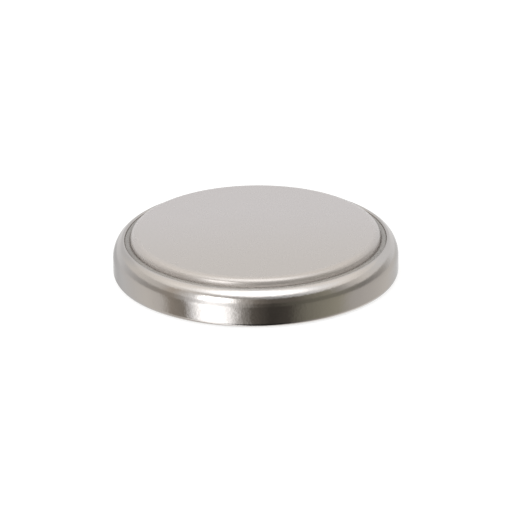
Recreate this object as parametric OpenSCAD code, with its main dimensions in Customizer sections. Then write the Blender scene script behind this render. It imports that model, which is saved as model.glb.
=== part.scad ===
// Lithium coin cell: a deep-drawn can crimped over a stepped cap, with a
// moulded gasket between them, and the disc-shaped contents of the cell.
// Millimetres. The origin is the centre of the positive face, +Z runs
// through the negative cap, and every piece is turned about Z.

/* [Overall size] */
// Outside diameter of the cell
cell_d = 20.0; // [16:0.1:24]
// Height from the positive face to the negative face
cell_h = 3.2; // [2.6:0.1:5]

/* [Positive can] */
// Thickness of the can's sheet
can_t = 0.25; // [0.2:0.01:0.3]
// Outside radius of the bend between the base and the wall
base_bend = 0.41; // [0.32:0.01:0.5]
// Depth of the crimp's crest below the negative face
crest_drop = 0.63; // [0.5:0.01:0.8]
// Height over which the crimp leans in, from the upright wall to the crest
lean_h = 1.29; // [1.1:0.01:1.5]
// Distance from the side of the cell in to the crest
lean_in = 0.73; // [0.6:0.01:0.8]
// Outside radius of the tighter bend just under the crest
crest_bend = 0.45; // [0.36:0.01:0.55]

/* [Negative cap] */
// Thickness of the cap's sheet
cap_t = 0.25; // [0.2:0.01:0.3]
// Distance from the side of the cell to the side of the raised crown
step_w = 1.24; // [1.2:0.01:1.6]
// Outside radius of the bend round the negative face
crown_bend = 0.52; // [0.4:0.01:0.6]
// Radius of the hollow bend where the crown meets the brim
root_bend = 0.15; // [0.1:0.01:0.2]
// Outside radius of the bend where the brim turns down into the skirt
brim_bend = 0.4; // [0.32:0.01:0.45]

/* [Gasket] */
// Thickness of the gasket's wall, between the skirt and the can
gasket_t = 0.3; // [0.25:0.01:0.36]
// Thickness left where the crimp squeezes the gasket onto the brim
squeeze_t = 0.22; // [0.18:0.01:0.26]
// Thickness of the foot that carries the skirt
foot_t = 0.35; // [0.25:0.01:0.45]
// Height of the heel that hooks inside the skirt, above the foot
heel_h = 0.4; // [0.2:0.01:0.6]
// Thickness of the heel
heel_t = 0.2; // [0.15:0.01:0.3]
// Width of the ring between the crown and the edge of the crimp
groove_w = 0.41; // [0.36:0.01:0.5]
// Height of the gasket's bead, which fills that ring, above the crimp's crest
bead_rise = 0.06; // [0:0.01:0.15]
// Radius of the bead's rounded top, seen in section
bead_round = 0.26; // [0.25:0.01:0.5]

/* [Contents] */
// Diameter of the lithium disc
lithium_d = 15.8; // [12:0.1:16]
// Thickness of the lithium disc
lithium_t = 0.6; // [0.4:0.05:0.8]
// Room between the separator's edge and the inside of the crown
separator_gap = 0.14; // [0.05:0.01:0.5]
// Thickness of the separator
separator_t = 0.15; // [0.08:0.01:0.25]
// Diameter of the cathode pellet
pellet_d = 16.0; // [12:0.1:16.2]
// Radius on the pressed edges of the cathode pellet
pellet_edge = 0.15; // [0.05:0.01:0.3]
// Thickness of the collector grid
collector_t = 0.1; // [0.05:0.01:0.2]
// Width of the plain rim round the collector grid
collector_rim = 0.4; // [0.3:0.05:1]
// Long way of one diamond opening in the grid
diamond_l = 1.7; // [1.2:0.1:2.4]
// Short way of one diamond opening in the grid
diamond_w = 0.9; // [0.6:0.1:1.4]
// Width of the strands between the openings
strand_w = 0.18; // [0.12:0.01:0.3]

/* [Hidden] */
$fn = 180;

// Radii of the can, the crown and the skirt, worked inwards from the side
cell_r = cell_d / 2;
can_in_r = cell_r - can_t;
crown_r = cell_r - step_w;
crimp_r = crown_r + groove_w;
crest_r = cell_r - lean_in;
skirt_r = can_in_r - gasket_t;
skirt_in_r = skirt_r - cap_t;
heel_r = skirt_in_r - heel_t;

// Heights, from the positive face up
crest_z = cell_h - crest_drop;
wall_top_z = crest_z - lean_h;
crimp_under_z = crest_z - can_t;
brim_z = crimp_under_z - squeeze_t;
skirt_z = can_t + foot_t;
bead_seat_z = crest_z - can_t / 2;
bead_z = crest_z + bead_rise;

// The crimp leans in along a long bend and turns over at its crest in a
// tight one. The two run smoothly into each other at lean_angle.
lean_angle = 2 * atan((lean_in - crest_bend) / (lean_h - crest_bend));
long_bend = crest_bend + (lean_h - crest_bend) / sin(lean_angle);

// The stack of discs: the pellet takes the height that the others leave
collector_z = can_t;
pellet_z = collector_z + collector_t;
lithium_z = cell_h - cap_t - lithium_t;
separator_z = lithium_z - separator_t;
pellet_t = separator_z - pellet_z;

// Colours
nickel = [0.78, 0.77, 0.75];
bright_nickel = [0.72, 0.71, 0.69];
nylon = [0.55, 0.54, 0.52];
lithium_grey = [0.66, 0.68, 0.70];
felt_white = [0.93, 0.92, 0.88];
oxide_black = [0.12, 0.12, 0.13];
mesh_grey = [0.60, 0.60, 0.60];

// Half section of a solid disc of radius r between two heights, with its
// lower and upper edges rounded to the radii low and high
module disc_section(r, bottom, top, low = 0, high = 0) {
    translate([0, bottom + low])
        square([r, top - bottom - low - high]);
    rounded_end(r, bottom + low, low, -1);
    rounded_end(r, top - high, high, 1);
}

// The rounded rim of disc_section on one side of the height z: a plain
// strip up to the bend's centre, and a quarter of a circle beyond it
module rounded_end(r, z, bend, way) {
    if (bend > 0)
        translate([r - bend, z])
            mirror([0, way > 0 ? 0 : 1]) {
                translate([bend - r, 0]) square([r - bend, bend]);
                intersection() {
                    circle(bend);
                    square(bend);
                }
            }
}

// Half section of the can's outside (inset 0) or inside (inset can_t): base
// and upright wall, the stretch that leans in, and the crest
module can_section(inset = 0) {
    disc_section(cell_r - inset, inset, wall_top_z, base_bend - inset);
    lean_section(long_bend - inset);
    disc_section(crest_r + crest_bend - inset, wall_top_z, crest_z - inset,
                 0, crest_bend - inset);
}

// Half section of the stretch that leans in, filled out to its long bend
module lean_section(bend) {
    height = bend * sin(lean_angle);
    translate([0, wall_top_z]) square([cell_r - long_bend, height]);
    translate([cell_r - long_bend, wall_top_z])
        intersection() {
            circle(bend);
            square([bend, height]);
        }
}

// Half section of the cap's outside (inset 0) or inside (inset cap_t),
// filled down to the lower end of the skirt
module cap_section(inset = 0) {
    root = root_bend + inset;
    disc_section(crown_r - inset, skirt_z, cell_h - inset,
                 0, crown_bend - inset);
    disc_section(skirt_r - inset, skirt_z, brim_z - inset,
                 0, brim_bend - inset);
    translate([crown_r - inset, brim_z - inset])
        difference() {
            square(root);
            translate([root, root]) circle(root);
        }
}

// One-piece drawn steel can: base, wall, and the crimp turned in at the top
module positive_can() {
    color(nickel)
        rotate_extrude()
            difference() {
                can_section();
                can_section(can_t);
                translate([0, wall_top_z]) square([crimp_r, cell_h]);
            }
}

// One-piece stepped steel cap: crown, hollow root, brim and skirt
module negative_cap() {
    color(bright_nickel)
        rotate_extrude()
            difference() {
                cap_section();
                cap_section(cap_t);
            }
}

// Moulded ring between the can and the cap. It fills the room that the two
// steel parts leave, hooks under the skirt, and ends in a rounded bead that
// closes the ring between the crown and the crimp.
module gasket() {
    color(nylon)
        rotate_extrude() {
            difference() {
                intersection() {
                    can_section(can_t);
                    union() {
                        translate([heel_r, 0]) square([cell_r, crest_z]);
                        translate([crown_r, brim_z]) square([cell_r, crest_z]);
                    }
                }
                cap_section();
            }
            translate([heel_r, skirt_z]) square([heel_t, heel_h]);
            difference() {
                translate([crown_r, brim_z])
                    square([groove_w, bead_seat_z - brim_z]);
                cap_section();
            }
            intersection() {
                translate([crown_r, bead_seat_z]) square([groove_w, cell_h]);
                translate([crown_r + groove_w / 2, bead_z - bead_round])
                    circle(bead_round);
            }
        }
}

// Disc punched from lithium strip and pressed into the cap
module lithium_anode() {
    color(lithium_grey)
        translate([0, 0, lithium_z])
            cylinder(h = lithium_t, d = lithium_d);
}

// Porous felt disc that keeps the lithium off the pellet
module separator() {
    color(felt_white)
        translate([0, 0, separator_z])
            cylinder(h = separator_t, r = crown_r - cap_t - separator_gap);
}

// Pressed tablet of manganese dioxide and carbon
module cathode_pellet() {
    color(oxide_black)
        rotate_extrude()
            disc_section(pellet_d / 2, pellet_z, separator_z,
                         pellet_edge, pellet_edge);
}

// One diamond opening of the grid
module diamond() {
    polygon([[-diamond_l / 2, 0], [0, -diamond_w / 2],
             [diamond_l / 2, 0], [0, diamond_w / 2]]);
}

// Expanded steel grid between the pellet and the can's base, with diamond
// openings in staggered rows wherever a whole one fits inside the rim
module cathode_collector() {
    pitch_x = diamond_l + strand_w * norm([diamond_l, diamond_w]) / diamond_w;
    pitch_y = diamond_w + strand_w * norm([diamond_l, diamond_w]) / diamond_l;
    open_r = pellet_d / 2 - collector_rim;
    columns = ceil(open_r / pitch_x) * 2;
    rows = ceil(open_r / pitch_y) * 2;
    color(mesh_grey)
        translate([0, 0, collector_z])
            linear_extrude(collector_t)
                difference() {
                    circle(d = pellet_d);
                    for (i = [-columns : columns], j = [-rows : rows])
                        if ((i + j) % 2 == 0 && diamond_fits(i * pitch_x / 2,
                                                             j * pitch_y / 2, open_r))
                            translate([i * pitch_x / 2, j * pitch_y / 2]) diamond();
                }
}

// True where a diamond centred on x, y has all its corners within r
function diamond_fits(x, y, r) =
    norm([abs(x) + diamond_l / 2, y]) < r && norm([x, abs(y) + diamond_w / 2]) < r;

positive_can();
negative_cap();
gasket();
lithium_anode();
separator();
cathode_pellet();
cathode_collector();
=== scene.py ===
"""A lithium coin cell, lying on its positive can in a plain pale studio."""
import math

import bmesh
import bpy
from mathutils import Matrix, Vector


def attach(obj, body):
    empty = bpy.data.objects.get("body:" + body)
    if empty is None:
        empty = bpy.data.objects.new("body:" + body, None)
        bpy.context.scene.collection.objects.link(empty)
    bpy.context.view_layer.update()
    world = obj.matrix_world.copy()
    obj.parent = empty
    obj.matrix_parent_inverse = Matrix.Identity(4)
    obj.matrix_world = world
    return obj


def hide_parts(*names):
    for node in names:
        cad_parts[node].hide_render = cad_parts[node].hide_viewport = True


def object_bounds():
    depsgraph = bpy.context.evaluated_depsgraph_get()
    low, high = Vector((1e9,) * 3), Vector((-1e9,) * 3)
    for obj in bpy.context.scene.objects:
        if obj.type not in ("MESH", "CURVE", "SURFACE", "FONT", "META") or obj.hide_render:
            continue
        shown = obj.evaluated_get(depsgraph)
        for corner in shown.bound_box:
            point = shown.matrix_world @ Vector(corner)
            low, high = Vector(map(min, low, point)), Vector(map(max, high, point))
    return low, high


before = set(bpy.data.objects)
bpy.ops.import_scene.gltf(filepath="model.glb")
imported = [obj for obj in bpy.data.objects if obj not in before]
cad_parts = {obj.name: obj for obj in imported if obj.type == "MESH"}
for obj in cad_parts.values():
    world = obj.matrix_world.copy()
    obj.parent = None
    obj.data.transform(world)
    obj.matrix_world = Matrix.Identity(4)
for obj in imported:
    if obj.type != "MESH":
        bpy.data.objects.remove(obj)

CAD_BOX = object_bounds()
MM = 0.001

# Camera: its height above the table's plane, its distance and the width of
# the field that it takes in at the cell
CAMERA_ELEVATION = 22.74
CAMERA_ROLL = -0.66
CAMERA_DISTANCE = 600 * MM
FIELD_WIDTH = 35.86 * MM
AIM_RIGHT = 0.018 * MM
AIM_DOWN = 0.315 * MM
SENSOR = 36.0

# Section of the can in millimetres: the top of the upright wall, the bends
# that turn it over to the crimp's crest, each with the slope at which it
# ends, the bend at the base, and the crimp's rounded edge.
CAN_WALL_TOP = 1.35
CAN_BENDS = [(1.70, 33), (1.12, 57), (0.20, 90)]
CAN_BASE_BEND = 0.41
CAN_EDGE_R = 9.17
CAN_EDGE_BEND = 0.09
CAN_SHEET = 0.25

# Inside of the can, which is the CAD's own: for each bend the radius and the
# height of its centre, its own radius, and the slopes at which it starts and
# ends. The first one starts at the underside of the crest.
CAN_INNER_BENDS = [(9.27, 2.12, 0.20, 90, 36.87), (8.15, 1.28, 1.60, 36.87, 0)]
CAN_UNDER_CREST = CAN_INNER_BENDS[0][1] + CAN_INNER_BENDS[0][2]

# How finely pieces are turned: steps round the axis, degrees of a bend to
# one point, the gap that closes up, and the angle that stays a sharp edge
TURNING_STEPS = 192
BEND_STEP = 2.5
CLOSING_GAP = 0.0001 * MM
SHARP_EDGE = 30

# Studio: what stands round the cell, in rings one above the other. A ring's
# stops each give a compass direction, a brightness and a tint. Compass zero is
# the camera's side and ninety is its right, in degrees like the elevations.
NEUTRAL = (1.0, 1.0, 1.0)
WARM = (1.04, 1.0, 0.94)
BROWN = (1.12, 1.0, 0.86)
OLIVE = (1.05, 1.0, 0.81)
TABLE_RING = [
    (-180, 1.00, NEUTRAL), (-170, 0.78, NEUTRAL), (-160, 0.55, NEUTRAL), (-148, 0.54, NEUTRAL),
    (-136, 0.61, NEUTRAL), (-100, 0.64, WARM), (-82, 0.56, WARM), (-74, 0.28, BROWN),
    (-60, 0.20, BROWN), (-53, 0.84, NEUTRAL), (-47, 1.52, NEUTRAL), (-42, 1.90, NEUTRAL),
    (-30, 1.90, NEUTRAL), (-24, 1.52, NEUTRAL), (-13, 0.39, WARM), (-4, 0.10, BROWN),
    (12, 0.04, BROWN), (26, 0.06, BROWN), (40, 0.19, OLIVE), (70, 0.33, OLIVE),
    (84, 0.45, WARM), (130, 0.60, WARM), (160, 0.62, NEUTRAL), (170, 0.80, NEUTRAL),
    (180, 1.00, NEUTRAL),
]
UNDER_RING = [
    (-180, 1.00, NEUTRAL), (-150, 0.95, NEUTRAL), (-129, 0.62, WARM), (-108, 0.58, WARM),
    (-90, 0.40, WARM), (-77, 0.62, WARM), (-64, 1.30, NEUTRAL), (-50, 1.50, NEUTRAL),
    (-36, 1.10, NEUTRAL), (-20, 0.05, WARM), (0, 0.02, WARM), (34, 0.02, WARM),
    (46, 0.16, WARM), (64, 0.34, WARM), (90, 0.52, WARM), (118, 0.76, WARM),
    (134, 1.25, NEUTRAL), (156, 1.00, NEUTRAL), (180, 1.00, NEUTRAL),
]
HORIZON_RING = [
    (-180, 0.85, NEUTRAL), (-132, 0.64, NEUTRAL), (-96, 0.37, WARM), (-70, 0.28, BROWN),
    (-60, 0.40, WARM), (-48, 0.85, NEUTRAL), (-37, 1.50, NEUTRAL), (-25, 1.25, NEUTRAL),
    (-12, 0.46, WARM), (0, 0.11, BROWN), (12, 0.05, BROWN), (36, 0.13, OLIVE),
    (60, 0.21, OLIVE), (96, 0.25, WARM), (120, 0.42, WARM), (140, 0.72, NEUTRAL),
    (180, 0.85, NEUTRAL),
]
CARD_RING = [
    (-180, 0.68, NEUTRAL), (-144, 0.62, NEUTRAL), (-120, 0.71, WARM), (-84, 0.57, WARM),
    (-72, 0.42, BROWN), (-62, 0.56, WARM), (-50, 0.90, NEUTRAL), (-41, 3.20, NEUTRAL),
    (-27, 3.00, NEUTRAL), (-14, 0.55, WARM), (0, 0.19, BROWN), (12, 0.10, BROWN),
    (30, 0.12, BROWN), (60, 0.28, OLIVE), (72, 0.38, WARM), (84, 0.56, WARM),
    (100, 0.72, WARM), (130, 0.74, NEUTRAL), (180, 0.68, NEUTRAL),
]
GAP_RING = [
    (-180, 0.72, NEUTRAL), (-120, 0.78, WARM), (-84, 0.86, WARM), (-60, 0.71, WARM),
    (-36, 0.55, WARM), (-12, 0.38, WARM), (0, 0.33, WARM), (14, 0.38, NEUTRAL),
    (36, 0.53, NEUTRAL), (50, 0.75, NEUTRAL), (80, 0.92, WARM), (110, 0.83, WARM),
    (180, 0.72, NEUTRAL),
]
HIGH_RING = [
    (-180, 0.82, NEUTRAL), (-120, 0.84, WARM), (-84, 1.00, WARM), (-48, 1.24, NEUTRAL),
    (-12, 1.38, NEUTRAL), (10, 1.42, NEUTRAL), (36, 1.28, NEUTRAL), (72, 1.06, NEUTRAL),
    (108, 0.93, WARM), (150, 0.80, WARM), (180, 0.82, NEUTRAL),
]

# The rings above the table's, each with the elevations over which it takes
# over from the one below, and those over which the lowest ring takes over
RINGS = [((-11, -4), HORIZON_RING), ((6, 13), CARD_RING), ((28, 34), GAP_RING), ((37, 47), HIGH_RING)]
UNDER_EDGE = (-30, -58)

# Softbox overhead: its brightness, its tilt towards the camera, the angles
# off its middle over which it fades, and the elevations over which it starts
SOFTBOX = 2.1
SOFTBOX_TILT = 40
SOFTBOX_EDGE = (16, 46)
SOFTBOX_FOOT = (45, 55)

# Table top: its size, the light it gives and the light it sends back
FLOOR_SIZE = 0.8
FLOOR_GLOW = 0.74
FLOOR_WHITE = 0.40

# Nickel plate: how far across its clouds, its patches of gloss, its peel and
# its fine grain are, how much the gloss varies, and the stretch of the cap,
# from the far side to the near one, over which painted shade darkens and warms the plate
CLOUD_SIZE = 2.5 * MM
GLOSS_SIZE = 0.5 * MM
PEEL_SIZE = 0.45 * MM
GRAIN_SIZE = 0.16 * MM
GLOSS_SPREAD = 0.03
# Painted shade on the cap: the span over which the plate turns darker and warmer
PAINTED_SHADE_SPAN = (5 * MM, -8 * MM)

# The other finishes' spread of gloss, and the span that noise mostly keeps to
PLAIN_GLOSS_SPREAD = 0.05
NOISE_SPAN = (0.3, 0.7)


# --- node helpers -----------------------------------------------------------

def add_node(tree, kind, **settings):
    """A node of that kind; a setting whose name is an input's sets the input."""
    node = tree.nodes.new(kind)
    for key, value in settings.items():
        if hasattr(node, key):
            setattr(node, key, value)
        else:
            node.inputs[key.replace("_", " ")].default_value = value
    return node


def wire(tree, source, target):
    """Links an output to an input."""
    tree.links.new(source, target)


def maths(tree, operation, *terms):
    """One Math node; each term is a number or another node's output."""
    node = tree.nodes.new("ShaderNodeMath")
    node.operation = operation
    for socket, term in zip(node.inputs, terms):
        if isinstance(term, (int, float)):
            socket.default_value = term
        else:
            wire(tree, term, socket)
    return node.outputs[0]


def smooth_step(tree, value, start, end):
    """0 at start and 1 at end, with soft ends."""
    node = tree.nodes.new("ShaderNodeMapRange")
    node.interpolation_type = "SMOOTHSTEP"
    node.inputs["From Min"].default_value = start
    node.inputs["From Max"].default_value = end
    wire(tree, value, node.inputs["Value"])
    return node.outputs["Result"]


def blend_colour(tree, factor, first, second):
    """A Mix node between two colours, each a tuple or another node's output."""
    node = add_node(tree, "ShaderNodeMix", data_type="RGBA", clamp_result=False)
    wire(tree, factor, node.inputs[0])
    # Inputs 6 and 7 and output 2 are the node's sockets for colours
    for socket, colour in ((node.inputs[6], first), (node.inputs[7], second)):
        if isinstance(colour, tuple):
            socket.default_value = (*colour, 1.0)
        else:
            wire(tree, colour, socket)
    return node.outputs[2]


# --- studio -----------------------------------------------------------------

def ring_of_light(tree, turn, stops):
    """What stands round the cell at one height, as a ramp over the compass."""
    ramp = tree.nodes.new("ShaderNodeValToRGB")
    ramp.color_ramp.interpolation = "LINEAR"
    wire(tree, turn, ramp.inputs["Fac"])
    elements = ramp.color_ramp.elements
    while len(elements) < len(stops):
        elements.new(0.5)
    for element, (compass, level, tint) in zip(elements, stops):
        element.position = (compass + 180) / 360
        element.color = (*(level * part for part in tint), 1.0)
    return ramp.outputs["Color"]


def rings_of_light(tree, turn, rise):
    """All the rings, from the one steeply below to the highest."""
    sides = ring_of_light(tree, turn, TABLE_RING)
    for meets, stops in RINGS:
        sides = blend_colour(tree, smooth_step(tree, rise, *meets), sides, ring_of_light(tree, turn, stops))
    fall = maths(tree, "MULTIPLY", rise, -1.0)
    below = smooth_step(tree, fall, -UNDER_EDGE[0], -UNDER_EDGE[1])
    return blend_colour(tree, below, sides, ring_of_light(tree, turn, UNDER_RING))


def softbox_share(tree, y, z, rise):
    """1 in the softbox, 0 outside it."""
    tilt = math.radians(SOFTBOX_TILT)
    towards = maths(tree, "ADD", maths(tree, "MULTIPLY", y, -math.sin(tilt)),
                    maths(tree, "MULTIPLY", z, math.cos(tilt)))
    off_middle = maths(tree, "DEGREES", maths(tree, "ARCCOSINE", towards))
    share = maths(tree, "SUBTRACT", 1.0, smooth_step(tree, off_middle, *SOFTBOX_EDGE))
    return maths(tree, "MULTIPLY", share, smooth_step(tree, rise, *SOFTBOX_FOOT))


def make_world():
    """The studio that the metal mirrors, with a white backdrop for the camera."""
    world = bpy.data.worlds.new("studio")
    bpy.context.scene.world = world
    world.use_nodes = True
    tree = world.node_tree
    tree.nodes.clear()
    place = tree.nodes.new("ShaderNodeTexCoord")
    axes = tree.nodes.new("ShaderNodeSeparateXYZ")
    wire(tree, place.outputs["Generated"], axes.inputs[0])
    x, y, z = axes.outputs
    compass = maths(tree, "ARCTAN2", x, maths(tree, "MULTIPLY", y, -1.0))
    turn = maths(tree, "MULTIPLY_ADD", compass, 0.5 / math.pi, 0.5)
    rise = maths(tree, "DEGREES", maths(tree, "ARCSINE", z))
    around = rings_of_light(tree, turn, rise)
    lit = blend_colour(tree, softbox_share(tree, y, z, rise), around, (SOFTBOX,) * 3)

    path = tree.nodes.new("ShaderNodeLightPath")
    seen = blend_colour(tree, path.outputs["Is Camera Ray"], lit, NEUTRAL)
    background = tree.nodes.new("ShaderNodeBackground")
    wire(tree, seen, background.inputs["Color"])
    output = tree.nodes.new("ShaderNodeOutputWorld")
    wire(tree, background.outputs[0], output.inputs["Surface"])


def make_floor():
    """A pale table top that keeps the cell's soft shadow."""
    bpy.ops.mesh.primitive_plane_add(size=FLOOR_SIZE, location=(0, 0, CAD_BOX[0].z))
    floor = bpy.context.active_object
    floor.name = "table_top"
    material = bpy.data.materials.new("pale_table")
    material.use_nodes = True
    tree = material.node_tree
    tree.nodes.clear()
    matt = add_node(tree, "ShaderNodeBsdfDiffuse", Color=(FLOOR_WHITE,) * 3 + (1.0,))
    glow = add_node(tree, "ShaderNodeEmission", Strength=FLOOR_GLOW)
    both = tree.nodes.new("ShaderNodeAddShader")
    output = tree.nodes.new("ShaderNodeOutputMaterial")
    wire(tree, matt.outputs[0], both.inputs[0])
    wire(tree, glow.outputs[0], both.inputs[1])
    wire(tree, both.outputs[0], output.inputs["Surface"])
    floor.data.materials.append(material)
    floor.visible_diffuse = False
    floor.visible_glossy = False
    floor.visible_transmission = False
    floor.visible_shadow = False


def make_camera():
    """A long lens on the near side, looking a little down on the cell."""
    data = bpy.data.cameras.new("camera")
    data.sensor_width = SENSOR
    data.lens = SENSOR * CAMERA_DISTANCE / FIELD_WIDTH
    data.clip_start = 0.1 * CAMERA_DISTANCE
    data.clip_end = 4 * CAMERA_DISTANCE
    camera = bpy.data.objects.new("camera", data)
    bpy.context.scene.collection.objects.link(camera)
    bpy.context.scene.camera = camera
    rise = math.radians(CAMERA_ELEVATION)
    back = Vector((0, -math.cos(rise), math.sin(rise)))
    up = Vector((0, math.sin(rise), math.cos(rise)))
    centre = (CAD_BOX[0] + CAD_BOX[1]) / 2
    aim = centre + Vector((AIM_RIGHT, 0, 0)) - up * AIM_DOWN
    turn = back.to_track_quat("Z", "Y").to_matrix().to_4x4()
    camera.matrix_world = (Matrix.Translation(aim + back * CAMERA_DISTANCE) @ turn
                           @ Matrix.Rotation(math.radians(CAMERA_ROLL), 4, "Z"))


# --- the can ----------------------------------------------------------------

def arc(centre_r, centre_z, radius, start, end):
    """Points of a bend in the half section, from one slope to another, in degrees."""
    steps = max(2, round(abs(end - start) / BEND_STEP))
    slopes = [math.radians(start + (end - start) * step / steps) for step in range(steps + 1)]
    return [(centre_r + radius * math.cos(slope), centre_z + radius * math.sin(slope)) for slope in slopes]


def can_section():
    """The can's half section, round the outside from the middle of its base and back inside."""
    side = CAD_BOX[1].x / MM
    base_r = side - CAN_BASE_BEND
    points = [(0, 0)] + arc(base_r, CAN_BASE_BEND, CAN_BASE_BEND, -90, 0)
    slope = 0
    r, z = side, CAN_WALL_TOP
    for bend, until in CAN_BENDS:
        turn = math.radians(slope)
        points += arc(r - bend * math.cos(turn), z - bend * math.sin(turn), bend, slope, until)
        r, z = points[-1]
        slope = until
    points += arc(CAN_EDGE_R + CAN_EDGE_BEND, z - CAN_EDGE_BEND, CAN_EDGE_BEND, 90, 180)
    points.append((CAN_EDGE_R, CAN_UNDER_CREST))
    for bend in CAN_INNER_BENDS:
        points += arc(*bend)
    points += arc(base_r, CAN_BASE_BEND, CAN_BASE_BEND - CAN_SHEET, 0, -90)
    return points + [(0, CAN_SHEET)]


def turned_piece(name, section):
    """A closed piece turned about the cell's axis from its half section."""
    shape = bmesh.new()
    row = [shape.verts.new((r * MM, 0, z * MM)) for r, z in section]
    edges = [shape.edges.new(pair) for pair in zip(row, row[1:])]
    bmesh.ops.spin(shape, geom=row + edges, axis=(0, 0, 1), cent=(0, 0, 0),
                   angle=2 * math.pi, steps=TURNING_STEPS, use_merge=True)
    bmesh.ops.remove_doubles(shape, verts=shape.verts, dist=CLOSING_GAP)
    bmesh.ops.recalc_face_normals(shape, faces=shape.faces)
    for face in shape.faces:
        face.smooth = True
    for edge in shape.edges:
        edge.smooth = edge.calc_face_angle(0) < math.radians(SHARP_EDGE)
    mesh = bpy.data.meshes.new(name)
    shape.to_mesh(mesh)
    shape.free()
    piece = bpy.data.objects.new(name, mesh)
    bpy.context.scene.collection.objects.link(piece)
    return piece


def make_can():
    """The drawn can, in place of the CAD's; both have the same finish."""
    can = turned_piece("drawn_can", can_section())
    finish = nickel_plate("can_nickel", light=(0.69, 0.66, 0.642), dark=(0.67, 0.64, 0.622),
                          rough=0.12, grain=0.004 * MM)
    can.data.materials.append(finish)
    dress("positive_can", finish)
    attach(can, "root")
    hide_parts("positive_can")


# --- finishes ---------------------------------------------------------------

def finish_tree(name):
    """A new material, with its nodes, its shader and the place on the piece."""
    material = bpy.data.materials.new(name)
    material.use_nodes = True
    tree = material.node_tree
    tree.nodes.clear()
    surface = tree.nodes.new("ShaderNodeBsdfPrincipled")
    output = tree.nodes.new("ShaderNodeOutputMaterial")
    wire(tree, surface.outputs[0], output.inputs["Surface"])
    where = tree.nodes.new("ShaderNodeTexCoord")
    return material, tree, surface, where.outputs["Object"]


def noise(tree, where, size, detail):
    """Noise whose features are about size across, in metres."""
    mapping = tree.nodes.new("ShaderNodeMapping")
    mapping.inputs["Scale"].default_value = (1 / size,) * 3
    wire(tree, where, mapping.inputs["Vector"])
    node = add_node(tree, "ShaderNodeTexNoise", Scale=1.0, Detail=detail)
    wire(tree, mapping.outputs[0], node.inputs["Vector"])
    return node.outputs["Fac"]


def spread(tree, value, low, high):
    """The noise between low and high, from its usual span."""
    start, end = NOISE_SPAN
    node = add_node(tree, "ShaderNodeMapRange", From_Min=start, From_Max=end, To_Min=low, To_Max=high)
    wire(tree, value, node.inputs["Value"])
    return node.outputs["Result"]


def bump(tree, height, distance, under=None):
    """Relief of that height in metres, on top of the relief under it."""
    node = add_node(tree, "ShaderNodeBump", Strength=1.0, Distance=distance)
    wire(tree, height, node.inputs["Height"])
    if under is not None:
        wire(tree, under, node.inputs["Normal"])
    return node.outputs["Normal"]


def nickel_plate(name, light, dark, rough, grain, metal=1.0, painted_near_shade=None):
    """Nickel plate: faint clouds of colour, uneven gloss, and a grain that deep, in metres.

    Given a near-side colour, the plate passes into it towards the near side: painted shade, darker and
    warmer there.
    """
    material, tree, surface, where = finish_tree(name)
    clouds = noise(tree, where, CLOUD_SIZE, 3.0)
    plate = blend_colour(tree, spread(tree, clouds, 0.0, 1.0), dark, light)
    if painted_near_shade is not None:
        # Painted shade: towards the near side the plate turns darker and warmer
        axes = tree.nodes.new("ShaderNodeSeparateXYZ")
        wire(tree, where, axes.inputs[0])
        plate = blend_colour(tree, smooth_step(tree, axes.outputs[1], *PAINTED_SHADE_SPAN), plate, painted_near_shade)
    wire(tree, plate, surface.inputs["Base Color"])
    surface.inputs["Metallic"].default_value = metal
    gloss = noise(tree, where, GLOSS_SIZE, 4.0)
    wire(tree, spread(tree, gloss, rough - GLOSS_SPREAD, rough + GLOSS_SPREAD), surface.inputs["Roughness"])
    peel = bump(tree, noise(tree, where, PEEL_SIZE, 1.0), grain)
    fine = bump(tree, noise(tree, where, GRAIN_SIZE, 2.0), grain, under=peel)
    wire(tree, fine, surface.inputs["Normal"])
    return material


def plain_finish(name, light, dark, rough, size, metal=0.0, relief=0.002 * MM):
    """A matt or half-gloss stuff, with a mottle that far across and relief that deep, in metres."""
    material, tree, surface, where = finish_tree(name)
    mottle = noise(tree, where, size, 4.0)
    wire(tree, blend_colour(tree, spread(tree, mottle, 0.0, 1.0), dark, light), surface.inputs["Base Color"])
    surface.inputs["Metallic"].default_value = metal
    wire(tree, spread(tree, mottle, rough - PLAIN_GLOSS_SPREAD, rough + PLAIN_GLOSS_SPREAD),
         surface.inputs["Roughness"])
    wire(tree, bump(tree, noise(tree, where, size / 3, 3.0), relief), surface.inputs["Normal"])
    return material


def dress(node, material):
    """Gives a CAD node its finish."""
    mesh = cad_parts[node].data
    mesh.materials.clear()
    mesh.materials.append(material)


def dress_cell():
    """Each CAD node's finish: the cap and the gasket that show, and the four pieces inside."""
    # The cap's plate carries painted shade, darker and warmer on its near side
    dress("negative_cap", nickel_plate(
        "cap_nickel", light=(0.672, 0.642, 0.644), dark=(0.66, 0.63, 0.632), rough=0.25,
        grain=0.0004 * MM, metal=0.46, painted_near_shade=(0.63, 0.591, 0.563)))
    dress("gasket", plain_finish(
        "gasket_plastic", light=(0.46, 0.44, 0.42), dark=(0.40, 0.38, 0.36), rough=0.25, size=0.4 * MM,
        metal=0.85))
    dress("lithium_anode", plain_finish(
        "lithium_metal", light=(0.55, 0.57, 0.60), dark=(0.42, 0.44, 0.47), rough=0.5, size=0.8 * MM,
        metal=0.8))
    dress("separator", plain_finish(
        "white_felt", light=(0.86, 0.85, 0.82), dark=(0.74, 0.73, 0.70), rough=0.9, size=0.15 * MM,
        relief=0.02 * MM))
    dress("cathode_pellet", plain_finish(
        "black_oxide", light=(0.022, 0.022, 0.024), dark=(0.010, 0.010, 0.011), rough=0.8, size=0.2 * MM,
        relief=0.01 * MM))
    dress("cathode_collector", plain_finish(
        "grid_steel", light=(0.55, 0.54, 0.52), dark=(0.42, 0.41, 0.40), rough=0.35, size=0.3 * MM,
        metal=1.0))


def main():
    bpy.context.scene.view_settings.view_transform = "Standard"
    make_camera()
    make_world()
    make_floor()
    make_can()
    dress_cell()


main()
